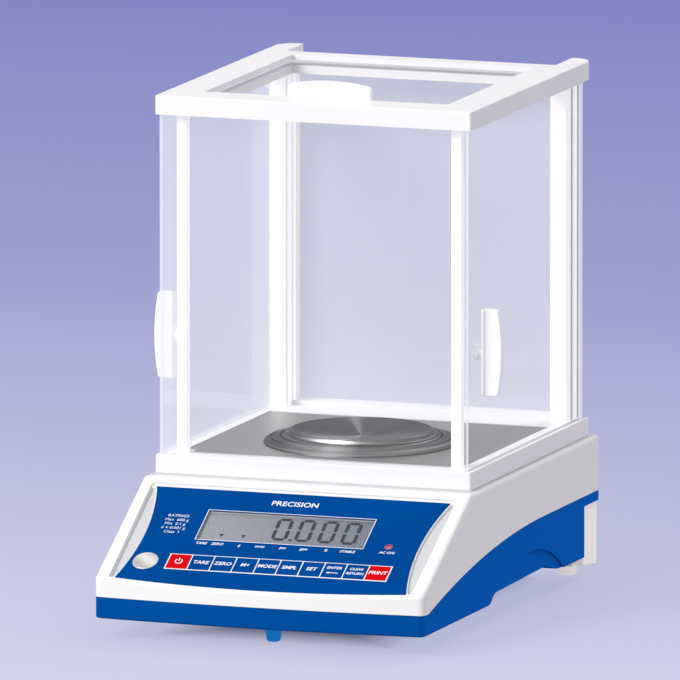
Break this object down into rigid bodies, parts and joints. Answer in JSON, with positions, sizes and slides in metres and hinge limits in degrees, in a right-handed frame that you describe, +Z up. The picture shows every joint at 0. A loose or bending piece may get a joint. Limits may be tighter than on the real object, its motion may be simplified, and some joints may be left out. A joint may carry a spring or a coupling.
{
  "type": "precision balance",
  "caption": "Electronic precision balance: sloped keypad and display on a two-part housing, round pan in a glass draft shield with sliding doors.",
  "frame": {"origin": "middle of the balance's outline on the table it stands on", "axes": "+X to the user's right, +Y from the front to the back, +Z up"},
  "size_m": [0.217, 0.321, 0.3176],
  "materials": {
    "aluminium": "machined",
    "battery_wrap": "wrapped cells",
    "black_plastic": "moulded",
    "blue_plastic": "satin moulded ABS",
    "blue_print": "printed polyester film",
    "board": "circuit board",
    "brass": "turned",
    "cable_grey": "flat cable",
    "connector_metal": "nickel plated",
    "cream_plastic": "fine moulded texture",
    "glass": "polished",
    "lcd": "liquid crystal display",
    "overlay_print": "printed polyester film",
    "pan_steel": "turned",
    "red_lens": "diffused lamp lens",
    "red_print": "printed polyester film",
    "silver_lens": "silvered",
    "stainless": "brushed",
    "steel_screw": "zinc plated",
    "white_frame": "powder coat",
    "white_plastic": "satin moulded ABS",
    "window": "clear"
  },
  "bodies": {
    "root": {"base_housing": "blue_plastic", "top_housing": "white_plastic", "housing_screws": "steel_screw", "front_foot": "blue_plastic", "rear_panel": "cream_plastic", "rear_panel_screws": "steel_screw", "power_inlet": "black_plastic", "data_port": "connector_metal", "foot_inserts": "brass", "shield_base_frame": "white_frame", "top_frame": "white_frame", "post_screws": "steel_screw", "front_glass": "glass", "rear_glass": "glass", "chamber_floor_plate": "stainless", "pan_spindle": "steel_screw", "load_cell": "aluminium", "load_cell_mount": "aluminium", "load_cell_screws": "steel_screw", "keypad_overlay": "overlay_print", "display_window": "window", "lcd_module": "lcd", "display_board": "board", "main_board": "board", "battery_pack": "battery_wrap", "ribbon_cable": "cable_grey", "level_vial_housing": "white_plastic", "level_lens": "silver_lens", "status_led": "red_lens", "left_front_post": "white_frame", "right_front_post": "white_frame", "left_rear_post": "white_frame", "right_rear_post": "white_frame"},
    "left_door": {"left_door_glass": "glass", "left_door_handle": "white_plastic", "left_door_knob": "white_plastic"},
    "right_door": {"right_door_glass": "glass", "right_door_handle": "white_plastic", "right_door_knob": "white_plastic"},
    "top_door": {"top_door_glass": "glass", "top_door_handle": "white_plastic", "top_door_knob": "white_plastic"},
    "pan": {"weighing_pan": "pan_steel", "pan_support": "aluminium"},
    "ring": {"draft_ring": "pan_steel"},
    "left_foot": {"left_foot_pad": "cream_plastic"},
    "left_foot_stud": {"left_foot_screw": "steel_screw"},
    "right_foot": {"right_foot_pad": "cream_plastic"},
    "right_foot_stud": {"right_foot_screw": "steel_screw"},
    "button_power": {"key_power": "red_print"},
    "button_tare": {"key_tare": "blue_print"},
    "button_zero": {"key_zero": "blue_print"},
    "button_memory": {"key_memory": "blue_print"},
    "button_mode": {"key_mode": "blue_print"},
    "button_sample": {"key_sample": "blue_print"},
    "button_set": {"key_set": "blue_print"},
    "button_enter": {"key_enter": "blue_print"},
    "button_return": {"key_return": "blue_print"},
    "button_print": {"key_print": "red_print"}
  },
  "joints": [
    {"name": "left_door_slide", "type": "slide", "parent": "root", "child": "left_door", "axis": [0, 1, 0], "range_m": [0, 0.152]},
    {"name": "right_door_slide", "type": "slide", "parent": "root", "child": "right_door", "axis": [0, 1, 0], "range_m": [0, 0.152]},
    {"name": "top_door_slide", "type": "slide", "parent": "root", "child": "top_door", "axis": [0, 1, 0], "range_m": [0, 0.14]},
    {"name": "pan_lift", "type": "slide", "parent": "root", "child": "pan", "axis": [0, 0, 1], "range_m": [0, 0.05]},
    {"name": "ring_lift", "type": "slide", "parent": "root", "child": "ring", "axis": [0, 0, 1], "range_m": [0, 0.05]},
    {"name": "left_foot_height", "type": "slide", "parent": "root", "child": "left_foot", "axis": [0, 0, 1], "range_m": [-0.003, 0.0024]},
    {"name": "left_foot_turn", "type": "hinge", "parent": "left_foot", "child": "left_foot_stud", "pos_m": [-0.0863, 0.1463, 0.006], "axis": [0, 0, 1], "range_deg": [-1080, 864]},
    {"name": "right_foot_height", "type": "slide", "parent": "root", "child": "right_foot", "axis": [0, 0, 1], "range_m": [-0.003, 0.0024]},
    {"name": "right_foot_turn", "type": "hinge", "parent": "right_foot", "child": "right_foot_stud", "pos_m": [0.0863, 0.1463, 0.006], "axis": [0, 0, 1], "range_deg": [-1080, 864]},
    {"name": "power_press", "type": "slide", "parent": "root", "child": "button_power", "axis": [0, 0.4848, -0.8746], "range_m": [0, 0.0004], "stiffness_N_per_m": 800, "springref_m": -0.0005},
    {"name": "tare_press", "type": "slide", "parent": "root", "child": "button_tare", "axis": [0, 0.4848, -0.8746], "range_m": [0, 0.0004], "stiffness_N_per_m": 800, "springref_m": -0.0005},
    {"name": "zero_press", "type": "slide", "parent": "root", "child": "button_zero", "axis": [0, 0.4848, -0.8746], "range_m": [0, 0.0004], "stiffness_N_per_m": 800, "springref_m": -0.0005},
    {"name": "memory_press", "type": "slide", "parent": "root", "child": "button_memory", "axis": [0, 0.4848, -0.8746], "range_m": [0, 0.0004], "stiffness_N_per_m": 800, "springref_m": -0.0005},
    {"name": "mode_press", "type": "slide", "parent": "root", "child": "button_mode", "axis": [0, 0.4848, -0.8746], "range_m": [0, 0.0004], "stiffness_N_per_m": 800, "springref_m": -0.0005},
    {"name": "sample_press", "type": "slide", "parent": "root", "child": "button_sample", "axis": [0, 0.4848, -0.8746], "range_m": [0, 0.0004], "stiffness_N_per_m": 800, "springref_m": -0.0005},
    {"name": "set_press", "type": "slide", "parent": "root", "child": "button_set", "axis": [0, 0.4848, -0.8746], "range_m": [0, 0.0004], "stiffness_N_per_m": 800, "springref_m": -0.0005},
    {"name": "enter_press", "type": "slide", "parent": "root", "child": "button_enter", "axis": [0, 0.4848, -0.8746], "range_m": [0, 0.0004], "stiffness_N_per_m": 800, "springref_m": -0.0005},
    {"name": "return_press", "type": "slide", "parent": "root", "child": "button_return", "axis": [0, 0.4848, -0.8746], "range_m": [0, 0.0004], "stiffness_N_per_m": 800, "springref_m": -0.0005},
    {"name": "print_press", "type": "slide", "parent": "root", "child": "button_print", "axis": [0, 0.4848, -0.8746], "range_m": [0, 0.0004], "stiffness_N_per_m": 800, "springref_m": -0.0005}
  ],
  "couplings": [
    {"joint": "left_foot_turn", "follows": "left_foot_height", "rad_per_m": 6283.2},
    {"joint": "right_foot_turn", "follows": "right_foot_height", "rad_per_m": 6283.2}
  ]
}
